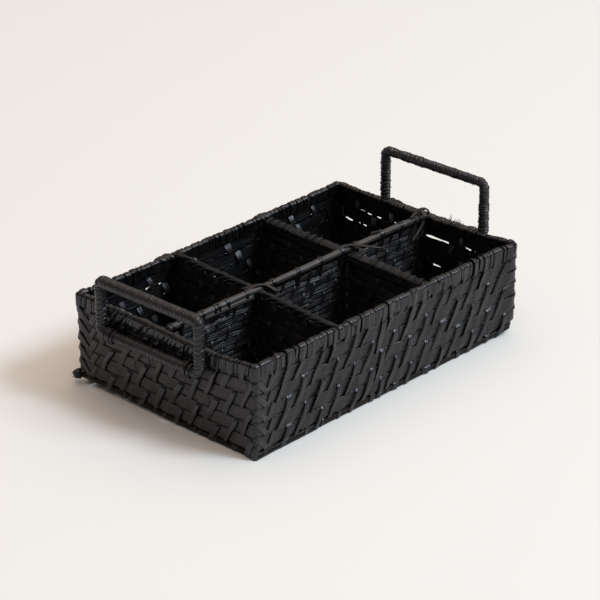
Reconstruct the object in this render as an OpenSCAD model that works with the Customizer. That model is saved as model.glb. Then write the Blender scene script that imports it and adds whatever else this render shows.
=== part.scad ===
// Divided caddy basket, hand woven in split cane: six open compartments,
// bound rims, and a wrapped loop handle lashed to each end wall.
// X runs along the basket, Y across it, Z up. The origin is the middle of the underside.

/* [Basket] */
// Outer length of the basket
body_l = 340; // [320:5:380]
// Outer width of the basket
body_w = 216; // [204:2:240]
// Height of the rim above the table
body_h = 90; // [86:1:100]
// How far the near rim dips in its middle
near_sag = 6; // [0:0.5:8]
// Thickness of a woven wall under its stakes
wall_t = 2.4; // [2:0.1:2.8]
// Thickness of a stake strip and of a rim wrap
strip_t = 0.6; // [0.4:0.1:0.8]
// Radius of the four upright corners
corner_r = 5; // [4.5:0.5:8]
// Rows of weavers in the height of a wall
rows = 5; // [4:1:6]

/* [Stakes] */
// Spacing of the stakes along a wall
stake_pitch = 14.2; // [12:0.2:18]
// Width of a stake strip
stake_w = 5.6; // [4:0.2:7]
// Lean of the stakes from upright, in degrees
stake_lean = 27; // [0:1:32]

/* [Rims and bottom edge] */
// Height of the bound rim band
rim_h = 15; // [10:1:18]
// Width of the rim, inside to outside
rim_w = 5; // [4.5:0.5:6]
// Height of the splint along each bottom edge
splint_h = 7; // [6:0.5:8]
// Thickness of the woven bottom
base_t = 3; // [2:0.5:4]

/* [Dividers] */
// Thickness of a divider panel
div_t = 3; // [2.4:0.2:4]
// Height of the divider panels' top edge
div_h = 83.5; // [70:0.5:84]
// Radius of the rod along the top of the long divider
spine_rod_r = 3.4; // [2.5:0.1:3.6]
// Place of the near cross divider, along X
cross_near_x = -58; // [-70:1:-45]
// Place of the far cross divider, along X
cross_far_x = 60; // [45:1:75]

/* [Handles] */
// Width of a handle loop, between the leg centres
loop_w = 120; // [90:2:130]
// Height of the near handle loop, between the bar centres
near_loop_h = 48.5; // [38:0.5:56]
// Height of the far handle loop, between the bar centres
far_loop_h = 53.5; // [38:0.5:56]
// Radius of the bends at the loop's corners
loop_bend = 6.5; // [6:0.5:12]
// Radius of the cane core
core_r = 3.8; // [3:0.1:4.2]
// Radius over the cane wrapping
wrap_r = 5.1; // [4.6:0.1:5.6]
// Height of the near handle's pivot bar
near_pivot_z = 65; // [60:1:70]
// Height of the far handle's pivot bar
far_pivot_z = 80.4; // [66:0.2:84]
// Offset of the near handle across the basket
near_handle_y = 10; // [-20:1:20]
// Offset of the far handle across the basket
far_handle_y = -7; // [-20:1:20]

/* [Corner knot] */
// Radius of the knot of strip ends outside one bottom corner
knot_r = 4; // [2:0.5:6]

/* [Hidden] */
$fn = 48;
hl = body_l / 2;
hw = body_w / 2;
face_x = hl - strip_t;          // outside of the end weave, under the stakes
face_y = hw - strip_t;
rim_z = body_h - rim_h;         // underside of the rim band
row_h = (rim_z - splint_h) / rows;
lean = tan(stake_lean);
in_x = hl - rim_w;              // clear length half, between rims and splints
in_y = hw - rim_w;
tie_t = 1.25;                   // thickness of a lashing loop
play = 0.3;                     // gap between a lashing loop and its bar
tie_r = wrap_r + play + tie_t;
bar_x = hl + tie_r;             // pivot bar centre, along X
tie_y = loop_w / 2 - 12.5;      // lashing loops, from the middle of the handle
spine_y0 = -3;                  // long divider at x = 0
spine_turn = -0.7;              // its slight skew, degrees
near_turn = -4;                 // skew of the near cross divider
far_turn = -2.6;                // skew of the far cross divider
lash_x = [-150, -121, -92, -72, -44, -14, 18, 47, 76, 104, 148];
black = [0.10, 0.10, 0.11];
dark = [0.15, 0.145, 0.15];
cane = [0.30, 0.28, 0.26];

// Height of the rim's dip at u along a wall of length len
function dip(u, len, sag) = sag * (1 - pow(2 * u / len, 2));
function steps(len) = [for (i = [0:12]) -len / 2 + len * i / 12];

// A wall frame: local X along the wall, local Y outwards from the wall's outer plane
module on_front() { translate([0, -hw, 0]) mirror([0, 1, 0]) children(); }
module on_back() { translate([0, hw, 0]) children(); }
module on_near() { translate([-hl, 0, 0]) rotate([0, 0, 90]) children(); }
module on_far() { translate([hl, 0, 0]) rotate([0, 0, 90]) mirror([0, 1, 0]) children(); }

// Upright slice from depth d0 to d1 behind the outer plane, for an outline in (u, z)
module slice(d0, d1, pts) {
    translate([0, -d0, 0]) rotate([90, 0, 0]) linear_extrude(height = d1 - d0) polygon(pts);
}

// One row of the weave: a flat strip with a shallow step at its edges
module weave(len, sag) {
    difference() {
        slice(strip_t, strip_t + wall_t, concat(
            [for (u = steps(len)) [u, rim_z - dip(u, len, sag)]],
            [[len / 2, splint_h], [-len / 2, splint_h]]));
        for (r = [1 : rows - 1])
            translate([-len / 2 - 1, -strip_t - 0.5, splint_h + r * row_h - 0.4]) cube([len + 2, 2, 0.8]);
    }
}

// Leaning stakes: each goes over two rows and under one, stepping up at its neighbour
module stakes(len, sag, flip) {
    n = ceil((len / 2 + rows * row_h * lean) / stake_pitch) + 1;
    intersection() {
        slice(0, strip_t, concat(
            [for (u = steps(len)) [u, rim_z - dip(u, len, sag)]],
            [[len / 2, splint_h], [-len / 2, splint_h]]));
        union() for (s = [-n : n]) for (k = [-1 : ceil(rows / 3)]) {
            top = ((s % 3) + 3) % 3 + 3 * k;
            lo = max(top - 2, 0);
            hi = min(top, rows);
            if (hi > lo) {
                a = s * stake_pitch - 20 + lo * row_h * lean;
                b = s * stake_pitch - 20 + hi * row_h * lean;
                slice(-0.5, strip_t, [for (p = [[a, lo], [a + stake_w, lo], [b + stake_w, hi], [b, hi]])
                    [flip * p[0], splint_h + p[1] * row_h + (p[1] == lo ? 0.3 : -0.3)]]);
            }
        }
    }
}

// Rim band, under its wraps
module rim(len, sag) {
    slice(strip_t, rim_w - strip_t, concat(
        [for (u = steps(len)) [u, body_h - strip_t - dip(u, len, sag)]],
        [for (i = [12:-1:0]) let (u = steps(len)[i]) [u, rim_z - dip(u, len, sag)]]));
}

// Wraps folded over the rim: a saddle of strip every pitch along the wall
module rim_wraps(len, sag, pitch, w) {
    n = floor((len - w - 4) / pitch / 2);
    difference() {
        intersection() {
            slice(0, rim_w, concat(
                [for (u = steps(len)) [u, body_h - dip(u, len, sag)]],
                [for (i = [12:-1:0]) let (u = steps(len)[i]) [u, rim_z - dip(u, len, sag) + 1]]));
            union() for (i = [-n : n])
                translate([i * pitch - w / 2, -rim_w - 1, rim_z - sag - 2]) cube([w, rim_w + 2, rim_h + sag + 4]);
        }
        rim(len, sag);
    }
}

// Splint along a bottom edge, with its outer lower corner rounded
module splint(len) {
    r = rim_w / 2;
    rotate([90, 0, 90]) translate([0, 0, -len / 2]) linear_extrude(height = len) union() {
        translate([-r, r]) circle(r);
        translate([-rim_w, 0]) square([r, splint_h]);
        translate([-rim_w, r]) square([rim_w, splint_h - r]);
    }
}

// Ties of narrow strip across a bottom splint, on its outer face
module ties(len, pitch) {
    n = floor((len - 20) / pitch / 2);
    for (i = [-n : n]) translate([i * pitch - 1.5, 0, rim_w / 2]) cube([3, 0.5, splint_h - rim_w / 2]);
}

module corner(sx, sy) {
    translate([sx * (hl - corner_r), sy * (hw - corner_r), 0]) intersection() {
        difference() {
            cylinder(r = corner_r, h = body_h);
            translate([0, 0, -1]) cylinder(r = corner_r - wall_t - strip_t, h = body_h + 2);
        }
        translate([sx > 0 ? 0 : -20, sy > 0 ? 0 : -20, -1]) cube([20, 20, body_h + 2]);
    }
}

// Local frames of the three dividers, with X along each panel
module spine_frame() { translate([0, spine_y0, 0]) rotate([0, 0, spine_turn]) children(); }
module near_frame() { translate([cross_near_x, spine_y0, 0]) rotate([0, 0, 90 + near_turn]) children(); }
module far_frame() { translate([cross_far_x, spine_y0, 0]) rotate([0, 0, 90 + far_turn]) children(); }

// The half of the inside that lies on one side of the long divider, gap from its middle plane
module half_inside(side, gap) {
    intersection() {
        translate([-in_x, -in_y, 0]) cube([2 * in_x, 2 * in_y, 2 * body_h]);
        spine_frame() translate([-body_l, side > 0 ? gap : -body_w - gap, 0]) cube([2 * body_l, body_w, 2 * body_h]);
    }
}
module base_panel() { color(black) translate([-in_x, -in_y, 0]) cube([2 * in_x, 2 * in_y, base_t]); }

module front_base_splint() { color(cane) on_front() splint(body_l - 2 * corner_r); }
module back_base_splint() { color(cane) on_back() splint(body_l - 2 * corner_r); }
module near_base_splint() { color(cane) on_near() splint(body_w - 2 * corner_r); }
module far_base_splint() { color(cane) on_far() splint(body_w - 2 * corner_r); }
module base_ties() {
    color(dark) {
        on_front() ties(body_l, 21);
        on_back() ties(body_l, 21);
        on_near() ties(body_w, 21);
        on_far() ties(body_w, 21);
    }
}

module front_wall_weave() { color(black) on_front() weave(body_l - 2 * corner_r, 0); }
module back_wall_weave() { color(black) on_back() weave(body_l - 2 * corner_r, 0); }
module near_wall_weave() { color(black) on_near() weave(body_w - 2 * corner_r, near_sag); }
module far_wall_weave() { color(black) on_far() weave(body_w - 2 * corner_r, 0); }

module front_wall_stakes() { color(dark) on_front() stakes(body_l - 2 * corner_r, 0, 1); }
module back_wall_stakes() { color(dark) on_back() stakes(body_l - 2 * corner_r, 0, -1); }
module near_wall_stakes() { color(dark) on_near() stakes(body_w - 2 * corner_r, near_sag, -1); }
module far_wall_stakes() { color(dark) on_far() stakes(body_w - 2 * corner_r, 0, 1); }

module front_near_corner() { color(dark) corner(-1, -1); }
module front_far_corner() { color(dark) corner(1, -1); }
module back_near_corner() { color(dark) corner(-1, 1); }
module back_far_corner() { color(dark) corner(1, 1); }

module front_rim() { color(black) on_front() rim(body_l - 2 * corner_r, 0); }
module back_rim() { color(black) on_back() rim(body_l - 2 * corner_r, 0); }
module near_rim() { color(black) on_near() rim(body_w - 2 * corner_r, near_sag); }
module far_rim() { color(black) on_far() rim(body_w - 2 * corner_r, 0); }
module front_rim_wraps() { color(dark) on_front() rim_wraps(body_l - 2 * corner_r, 0, 10, 7); }
module back_rim_wraps() { color(dark) on_back() rim_wraps(body_l - 2 * corner_r, 0, 10, 7); }
module near_rim_wraps() { color(dark) on_near() rim_wraps(body_w - 2 * corner_r, near_sag, 8, 5); }
module far_rim_wraps() { color(dark) on_far() rim_wraps(body_w - 2 * corner_r, 0, 8, 5); }

module spine_panel() {
    color(black) intersection() {
        spine_frame() translate([-body_l, -div_t / 2, base_t]) cube([2 * body_l, div_t, div_h - base_t]);
        translate([-in_x, -in_y, 0]) cube([2 * in_x, 2 * in_y, 2 * body_h]);
    }
}
module spine_rod() {
    color(cane) intersection() {
        spine_frame() translate([-body_l, 0, div_h + spine_rod_r]) rotate([0, 90, 0]) cylinder(r = spine_rod_r, h = 2 * body_l);
        translate([-in_x, -in_y, 0]) cube([2 * in_x, 2 * in_y, 2 * body_h]);
    }
}
// A strip saddled over the rod and down both sides of the long divider
module lashing(w) {
    z = div_h + spine_rod_r;
    difference() {
        union() {
            translate([-w / 2, 0, z]) rotate([0, 90, 0]) cylinder(r = spine_rod_r + 0.8, h = w);
            translate([-w / 2, -div_t / 2 - 0.8, div_h - 7]) cube([w, div_t + 1.6, z - div_h + 7]);
        }
        translate([-w, 0, z]) rotate([0, 90, 0]) cylinder(r = spine_rod_r, h = 2 * w);
        translate([-w, -div_t / 2, div_h - 10]) cube([2 * w, div_t, 12]);
    }
}
module spine_lashings() {
    color(dark) spine_frame() for (x = lash_x) translate([x, 0, 0]) lashing(4);
}

module near_cross_front() { color(black) intersection() { near_frame() panel_slab(); half_inside(-1, div_t / 2); } }
module near_cross_back() { color(black) intersection() { near_frame() panel_slab(); half_inside(1, div_t / 2); } }
module far_cross_front() { color(black) intersection() { far_frame() panel_slab(); half_inside(-1, div_t / 2); } }
module far_cross_back() { color(black) intersection() { far_frame() panel_slab(); half_inside(1, div_t / 2); } }
module panel_slab() { translate([-body_w, -div_t / 2, base_t]) cube([2 * body_w, div_t, div_h - base_t]); }

// Rope braid along the top of the near cross divider
module braid() { translate([-body_w, 0, div_h + 2.8]) rotate([0, 90, 0]) cylinder(r = 2.8, h = 2 * body_w); }
module near_braid_front() { color(dark) intersection() { near_frame() braid(); half_inside(-1, spine_rod_r + 0.9); } }
module near_braid_back() { color(dark) intersection() { near_frame() braid(); half_inside(1, spine_rod_r + 0.9); } }
// Flat strip along the top of the far cross divider, with cross wraps
module binding() {
    translate([-body_w, -2.8, div_h]) cube([2 * body_w, 5.6, 4]);
    for (i = [-12 : 12]) translate([i * 8, -3.2, div_h]) cube([4, 6.4, 4.5]);
}
module far_binding_front() { color(dark) intersection() { far_frame() binding(); half_inside(-1, spine_rod_r + 0.9); } }
module far_binding_back() { color(dark) intersection() { far_frame() binding(); half_inside(1, spine_rod_r + 0.9); } }

// Closed rectangular loop in the YZ plane, pivot bar on the Y axis, rod from r0 to r1
module rod(len, r0, r1) {
    if (r0 > 0) difference() {
        cylinder(r = r1, h = len);
        translate([0, 0, -1]) cylinder(r = r0, h = len + 2);
    } else cylinder(r = r1, h = len);
}
module bend(r0, r1) {
    rotate_extrude(angle = 90) translate([loop_bend, 0]) {
        if (r0 > 0) difference() { circle(r1); circle(r0); } else circle(r1);
    }
}
module loop(loop_h, r0, r1) {
    w = loop_w / 2;
    union() {
        for (z = [0, loop_h]) translate([0, -w + loop_bend, z]) rotate([-90, 0, 0]) rod(loop_w - 2 * loop_bend, r0, r1);
        for (y = [-w, w]) translate([0, y, loop_bend]) rod(loop_h - 2 * loop_bend, r0, r1);
        rotate([90, 0, 90]) {
            translate([w - loop_bend, loop_h - loop_bend, 0]) bend(r0, r1);
            translate([-w + loop_bend, loop_h - loop_bend, 0]) rotate([0, 0, 90]) bend(r0, r1);
            translate([-w + loop_bend, loop_bend, 0]) rotate([0, 0, 180]) bend(r0, r1);
            translate([w - loop_bend, loop_bend, 0]) rotate([0, 0, 270]) bend(r0, r1);
        }
    }
}
module at_near_pivot() { translate([-bar_x, near_handle_y, near_pivot_z]) children(); }
module at_far_pivot() { translate([bar_x, far_handle_y, far_pivot_z]) children(); }
module near_handle_core() { color(cane) at_near_pivot() loop(near_loop_h, 0, core_r); }
module near_handle_wrap() { color(dark) at_near_pivot() loop(near_loop_h, core_r, wrap_r); }
module far_handle_core() { color(cane) at_far_pivot() loop(far_loop_h, 0, core_r); }
module far_handle_wrap() { color(dark) at_far_pivot() loop(far_loop_h, core_r, wrap_r); }

// Lashing loop round the pivot bar, flat against the wall at local x = tie_r
module lash_loop() {
    translate([0, -2.5, 0]) rotate([-90, 0, 0]) difference() {
        union() {
            cylinder(r = tie_r, h = 5);
            translate([0, -tie_r, 0]) cube([tie_r, 2 * tie_r, 5]);
        }
        translate([0, 0, -1]) cylinder(r = wrap_r + play, h = 7);
    }
}
module near_handle_ties() { color(dark) at_near_pivot() for (s = [-1, 1]) translate([0, s * tie_y, 0]) lash_loop(); }
module far_handle_ties() { color(dark) at_far_pivot() for (s = [-1, 1]) translate([0, s * tie_y, 0]) mirror([1, 0, 0]) lash_loop(); }

// Knot of strip ends outside one bottom corner
module corner_knot() {
    d = corner_r - (corner_r + knot_r + 0.02) * sqrt(0.5);
    color(black) translate([-hl + d, hw - d, 8]) sphere(r = knot_r);
}

base_panel();
front_base_splint();
back_base_splint();
near_base_splint();
far_base_splint();
base_ties();
front_wall_weave();
back_wall_weave();
near_wall_weave();
far_wall_weave();
front_wall_stakes();
back_wall_stakes();
near_wall_stakes();
far_wall_stakes();
front_near_corner();
front_far_corner();
back_near_corner();
back_far_corner();
front_rim();
back_rim();
near_rim();
far_rim();
front_rim_wraps();
back_rim_wraps();
near_rim_wraps();
far_rim_wraps();
spine_panel();
spine_rod();
spine_lashings();
near_cross_front();
near_cross_back();
far_cross_front();
far_cross_back();
near_braid_front();
near_braid_back();
far_binding_front();
far_binding_back();
near_handle_core();
near_handle_wrap();
far_handle_core();
far_handle_wrap();
near_handle_ties();
far_handle_ties();
corner_knot();
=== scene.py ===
import bpy, math
import numpy as np
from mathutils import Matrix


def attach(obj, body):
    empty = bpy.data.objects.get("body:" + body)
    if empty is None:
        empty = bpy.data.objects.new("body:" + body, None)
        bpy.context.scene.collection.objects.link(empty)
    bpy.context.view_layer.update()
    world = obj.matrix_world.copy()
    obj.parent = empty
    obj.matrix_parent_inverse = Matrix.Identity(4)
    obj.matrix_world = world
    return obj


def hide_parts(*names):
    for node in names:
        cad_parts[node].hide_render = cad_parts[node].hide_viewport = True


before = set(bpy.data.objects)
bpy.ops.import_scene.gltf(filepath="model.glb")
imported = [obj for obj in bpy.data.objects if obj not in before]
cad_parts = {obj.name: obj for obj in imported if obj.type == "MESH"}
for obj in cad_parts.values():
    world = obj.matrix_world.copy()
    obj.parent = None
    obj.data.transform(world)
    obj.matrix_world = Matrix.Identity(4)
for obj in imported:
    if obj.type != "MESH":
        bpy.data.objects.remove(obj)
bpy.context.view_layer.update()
MM = 0.001
rng = np.random.RandomState(11)

# ------------------------------------------------------------------ outline of the basket
HL, HW, CR, H = 170.0, 108.0, 2.6, 90.0
SX, SY, ARC = HL - CR, HW - CR, math.pi * CR / 2
# perimeter, seen from above anticlockwise: near wall (y falling), front (x rising), far (y rising), back (x falling)
U_A = 2 * SY                      # end of the near wall
U_F = U_A + ARC                   # start of the front wall
U_C = U_F + 2 * SX                # end of the front wall
U_R = U_C + ARC                   # start of the far wall
U_D = U_R + 2 * SY
U_K = U_D + ARC                   # start of the back wall
U_B = U_K + 2 * SX
TOTAL = U_B + ARC


def outline(u, n):
    """World x, y (mm) of perimeter position u at outward offset n."""
    u = np.mod(u, TOTAL)
    x = np.zeros_like(u); y = np.zeros_like(u)
    for a, b, fx, fy in (
        (0, U_A, lambda t: -HL - n[m], lambda t: SY - t),
        (U_F, U_C, lambda t: -SX + t, lambda t: -HW - n[m]),
        (U_R, U_D, lambda t: HL + n[m], lambda t: -SY + t),
        (U_K, U_B, lambda t: SX - t, lambda t: HW + n[m])):
        m = (u >= a) & (u < b)
        t = u[m] - a
        x[m] = fx(t); y[m] = fy(t)
    for a, b, cx, cy, ang in ((U_A, U_F, -SX, -SY, 180), (U_C, U_R, SX, -SY, 270), (U_D, U_K, SX, SY, 0), (U_B, TOTAL + 1, -SX, SY, 90)):
        m = (u >= a) & (u < b)
        th = np.radians(ang) + (u[m] - a) / CR
        r = np.maximum(CR + n[m], 0.4)
        x[m] = cx + r * np.cos(th); y[m] = cy + r * np.sin(th)
    return x, y


def ring(pairs):
    """Smooth periodic function of u through (u, value) pairs."""
    us = np.array([p[0] for p in pairs], float); vs = np.array([p[1] for p in pairs], float)
    us = np.concatenate([us - TOTAL, us, us + TOTAL]); vs = np.concatenate([vs, vs, vs])
    fine = np.arange(-20, TOTAL + 20, 2.0)
    v = np.interp(fine, us, vs)
    k = np.hanning(13); k /= k.sum()
    v = np.convolve(np.pad(v, 6, mode="edge"), k, "valid")
    return lambda u: np.interp(np.mod(u, TOTAL), fine, v)


def near(y): return SY - y
def front(x): return U_F + x + SX
def far(y): return U_R + y + SY
def back(x): return U_K + SX - x


top_z = ring([(near(100), 89.4), (near(84), 88), (near(67), 87), (near(38), 87.2), (near(10), 86.8), (near(-26), 85), (near(-54), 84),
              (near(-84), 86.6), (near(-101), 89.4), (front(-162), 89.5), (front(-140), 88.2), (front(-60), 88), (front(0), 88.6),
              (front(100), 89), (front(160), 90), (far(-98), 90), (far(-50), 89), (far(0), 88.6), (far(60), 89), (far(100), 90),
              (back(150), 89.4), (back(60), 88.6), (back(-60), 88.4), (back(-150), 88.8)])
low_z = ring([(near(104), 5.4), (near(60), 3.6), (near(10), 1.6), (near(-30), 0.3), (near(-90), 0), (front(-150), 0), (front(120), 0),
              (front(150), 1.2), (front(166), 5.4), (far(-104), 6), (far(-85), 2.4), (far(-50), 0.4), (far(60), 0), (back(150), 0),
              (back(-80), 0), (back(-130), 2.0), (back(-166), 5.0)])
# height of the weave's rows at the far and back walls, against the same rows at the near and front walls
Z_IN = np.array([0, 7, 20.4, 33.8, 47.2, 60.6, 74, 90.0])
Z_FAR = np.array([0, 8.6, 24, 39.5, 54.3, 67.4, 79.4, 90.0])
far_share = ring([(near(60), 0), (near(-100), 0), (front(-100), 0), (front(146), 0), (front(168), 0.25), (far(-90), 0.85), (far(-70), 1), (far(80), 1),
                  (back(160), 0.9), (back(100), 0.6), (back(-100), 0.5), (back(-155), 0.2), (near(100), 0)])
ph = rng.uniform(0, 6.28, 12)


def bulge(u, z):
    """How far the upright corners stand out beyond the flat walls, mm."""
    out = 0.0
    for c, a, t, w in ((TOTAL - ARC / 2, 0.9, 0.9, 13.0), (U_A + ARC / 2, 0.7, 0.3, 12.0), (U_C + ARC / 2, 4.3, 0.2, 17.0), (U_D + ARC / 2, 0.8, 0.4, 14.0)):
        d = np.mod(u - c + TOTAL / 2, TOTAL) - TOTAL / 2
        out = out + (a + t * (z / H) ** 2) * np.exp(-(d / w) ** 2)
    return out


def wobble(u, z):
    k = 2 * math.pi / TOTAL
    return (0.45 * np.sin(9 * k * u + ph[0] + z * 0.02) + 0.35 * np.sin(23 * k * u + ph[1] - z * 0.03) + 0.25 * np.sin(47 * k * u + ph[2] + z * 0.06)
            + 0.18 * np.sin(101 * k * u + ph[3] - 0.1 * z))


def on_wall(v):
    """(u, z, n) in mm -> world metres, following the hand-made walls."""
    u, z, n = v[:, 0], v[:, 1], v[:, 2]
    f = far_share(u)
    z = z * (1 - f) + np.interp(z, Z_IN, Z_FAR) * f + np.where(z < 0, z * f, 0)
    lo, hi = low_z(u), top_z(u)
    z = lo + z * (hi - lo) / H
    n = n + wobble(u, z) * 0.55 * np.clip(z / 12, 0, 1) + bulge(u, z)
    x, y = outline(u, n)
    return np.stack([x, y, z], 1) * MM


def lift(x, y):
    """How far the floor of the basket follows its two raised corners, mm."""
    b = 5.0 * np.clip((y + 30) / 132, 0, 1) * np.clip(1 - (x + 170) / 110, 0, 1) ** 1.6
    c = 4.2 * np.exp(-((170 - x) + (y + 108)) / 20)
    return b + c


def panel_map(ox, oy, deg, z_of=None):
    """(u, z, n) -> world metres for a flat panel through (ox, oy), turned deg about Z; n is to the left of u... seen from above, to the right."""
    c, s = math.cos(math.radians(deg)), math.sin(math.radians(deg))

    def f(v):
        u, z, n = v[:, 0], v[:, 1], v[:, 2]
        w = 0.5 * np.sin(u * 0.031 + ph[5] + deg) + 0.25 * np.sin(u * 0.09 + ph[6])
        nn = n + w * np.clip(z / 80, 0, 1) * np.clip((165 - np.abs(u)) / 30, 0, 1)
        x = ox + u * c + nn * s
        y = oy + u * s - nn * c
        zz = z if z_of is None else z_of(u, z)
        return np.stack([x, y, zz], 1) * MM
    return f


# ------------------------------------------------------------------ mesh helpers
PA = np.array([-0.93, -0.45, 0.0, 0.45, 0.93, 1.0, 0.93, -0.93, -1.0])
PB = np.array([1.0, 1.0, 1.0, 1.0, 1.0, 0.0, -1.0, -1.0, 0.0])
PC = np.array([0.0, 0.75, 1.0, 0.75, 0.0, 0.0, 0.0, 0.0, 0.0])


class Piece:
    def __init__(self):
        self.v, self.f, self.a, self.e, self.n = [], [], [], [], 0

    def add(self, v, f, a, e):
        self.f += [tuple(int(i) + self.n for i in q) for q in f]
        self.v.append(v); self.a.append(a); self.e.append(e); self.n += len(v)

    def strip(self, P, N, width, thick=0.7, crown=0.12, tone=None, taper=0.0, T=None):
        """A flat strip of cane along P, its skin side towards N."""
        P = np.asarray(P, float); n = len(P)
        N = np.broadcast_to(np.asarray(N, float), P.shape).copy()
        T = np.gradient(P, axis=0) if T is None else T
        T /= np.linalg.norm(T, axis=1)[:, None] + 1e-12
        N -= (N * T).sum(1)[:, None] * T
        N /= np.linalg.norm(N, axis=1)[:, None] + 1e-12
        W = np.cross(T, N)                     # N x W = T
        w = np.broadcast_to(np.asarray(width, float), (n,)).copy() / 2
        if taper:
            t = np.linspace(0, 1, n)
            w *= np.clip(np.minimum(t, 1 - t) / taper, 0.25, 1)
        m = len(PA)
        v = P[:, None] + W[:, None] * (PA[None, :, None] * w[:, None, None]) + N[:, None] * ((PB * thick / 2 + PC * crown)[None, :, None])
        s = np.concatenate([[0], np.cumsum(np.linalg.norm(np.diff(P, axis=0), axis=1))])
        if tone is None:
            tone = rng.uniform()
        a = np.stack([np.repeat(s + tone * 613, m), (PA[None] * w[:, None]).ravel() + 50 * tone, np.full(n * m, tone)], 1)
        e = np.tile(np.abs(PA), n)
        f = []
        i = np.arange(n - 1)[:, None] * m; j = np.arange(m)[None]; k = (j + 1) % m
        q = np.stack([i + j, i + k, i + m + k, i + m + j], 2).reshape(-1, 4)
        f = list(map(tuple, q))
        f.append(tuple(range(m - 1, -1, -1))); f.append(tuple((n - 1) * m + k for k in range(m)))
        # W x T = N needs the quads as they stand
        self.add(v.reshape(-1, 3), f, a, e)

    def rod(self, P, radius, sides=14, tone=0.5, closed=False, radial=None, N0=(0, 0, 1.0)):
        """A round rod along P; radius may be (n,) or (n, sides)."""
        P = np.asarray(P, float); n = len(P)
        T = (np.roll(P, -1, 0) - np.roll(P, 1, 0)) if closed else np.gradient(P, axis=0)
        T /= np.linalg.norm(T, axis=1)[:, None]
        if radial is None:
            N = np.broadcast_to(np.asarray(N0, float), P.shape).copy()
        else:
            N = radial
        N = N - (N * T).sum(1)[:, None] * T
        N /= np.linalg.norm(N, axis=1)[:, None]
        B = np.cross(T, N)
        th = np.arange(sides) * 2 * math.pi / sides
        r = np.asarray(radius, float)
        r = np.broadcast_to(r[..., None] if r.ndim == 1 else r, (n, sides))
        v = P[:, None] + r[..., None] * (N[:, None] * np.cos(th)[None, :, None] + B[:, None] * np.sin(th)[None, :, None])
        s = np.concatenate([[0], np.cumsum(np.linalg.norm(np.diff(P, axis=0), axis=1))])
        a = np.stack([np.repeat(s, sides), np.tile(th * 3.0, n), np.full(n * sides, tone)], 1)
        e = np.zeros(n * sides)
        nn = n if closed else n - 1
        i = np.arange(nn)[:, None] * sides; i2 = (np.arange(nn)[:, None] + 1) % n * sides
        j = np.arange(sides)[None]; k = (j + 1) % sides
        q = np.stack([i + j, i + k, i2 + k, i2 + j], 2).reshape(-1, 4)
        f = list(map(tuple, q))
        if not closed:
            f.append(tuple(range(sides - 1, -1, -1))); f.append(tuple((n - 1) * sides + k for k in range(sides)))
        self.add(v.reshape(-1, 3), f, a, e)

    def make(self, name, mat, body="basket", slot="weave", mapping=None, replaces=(), sharp=48):
        v = np.concatenate(self.v)
        v = mapping(v) if mapping else v * MM
        v[:, 2] = np.maximum(v[:, 2], 0.00006)
        me = bpy.data.meshes.new(name)
        me.from_pydata(v.tolist(), [], self.f)
        me.update()
        at = me.attributes.new("grain", "FLOAT_VECTOR", "POINT")
        at.data.foreach_set("vector", np.concatenate(self.a).astype(np.float32).ravel())
        at = me.attributes.new("edge", "FLOAT", "POINT")
        at.data.foreach_set("value", np.concatenate(self.e).astype(np.float32))
        me.shade_smooth()
        if sharp:
            me.set_sharp_from_angle(angle=math.radians(sharp))
        me.materials.append(mat)
        o = bpy.data.objects.new(name, me)
        bpy.context.scene.collection.objects.link(o)
        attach(o, body)
        if replaces:
            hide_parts(*replaces)
        return o


def smooth(x):
    x = np.clip(x, 0, 1)
    return x * x * (3 - 2 * x)


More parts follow.
